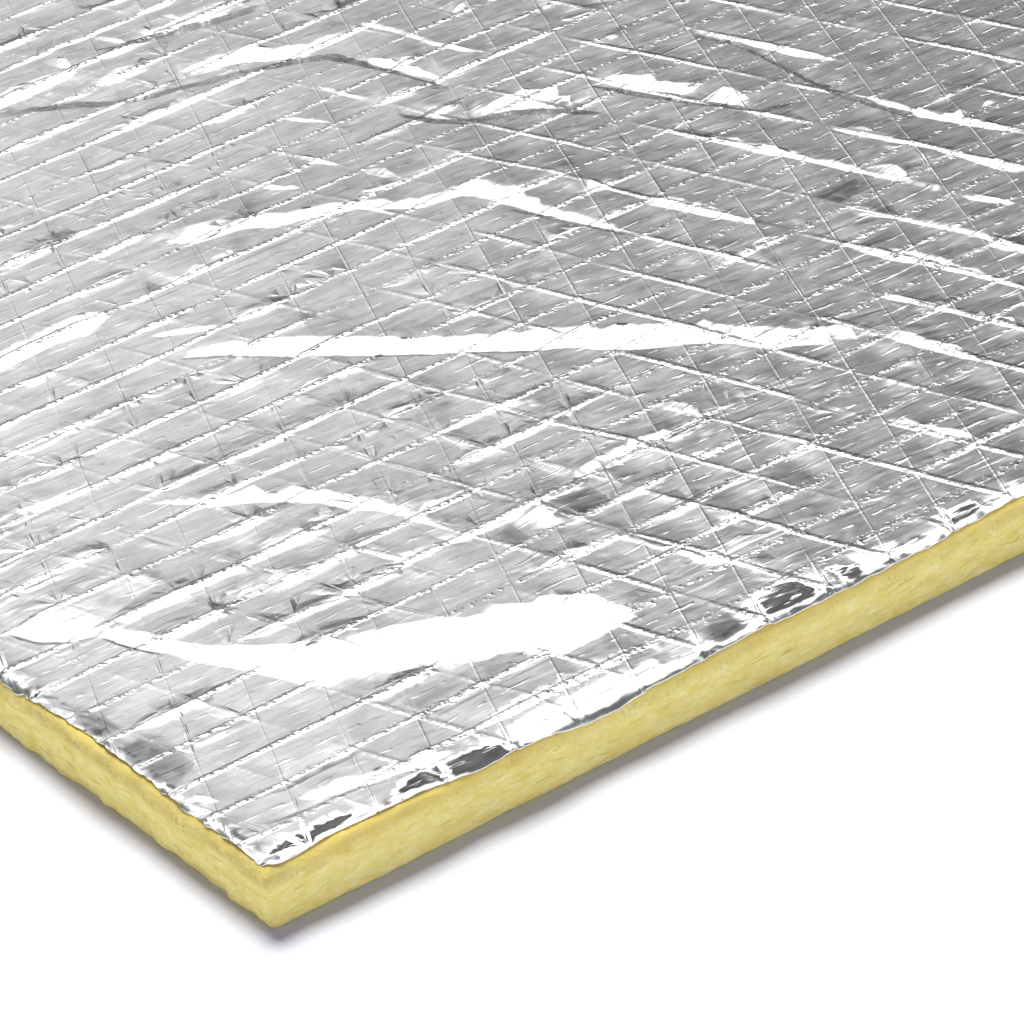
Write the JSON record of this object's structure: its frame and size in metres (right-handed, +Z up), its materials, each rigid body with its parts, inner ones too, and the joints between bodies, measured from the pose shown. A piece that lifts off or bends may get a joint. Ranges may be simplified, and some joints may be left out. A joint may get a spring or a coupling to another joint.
{
  "type": "heat shield mat",
  "caption": "Square heat shield mat: a thin glass wool pad with a reinforced aluminium foil facing laminated to its upper side, for lining floors and firewalls.",
  "frame": {"origin": "centre of the mat's underside", "axes": "+Z up through the mat, out of the foil side; +X along the lengthwise reinforcing yarns, +Y across them"},
  "size_m": [0.6096, 0.6096, 0.0127],
  "materials": {
    "glass_wool": "matte fibrous",
    "foil": "bright crinkled foil with a yarn net showing through"
  },
  "bodies": {
    "root": {"glass_wool_pad": "glass_wool", "foil_facing": "foil"}
  },
  "joints": []
}
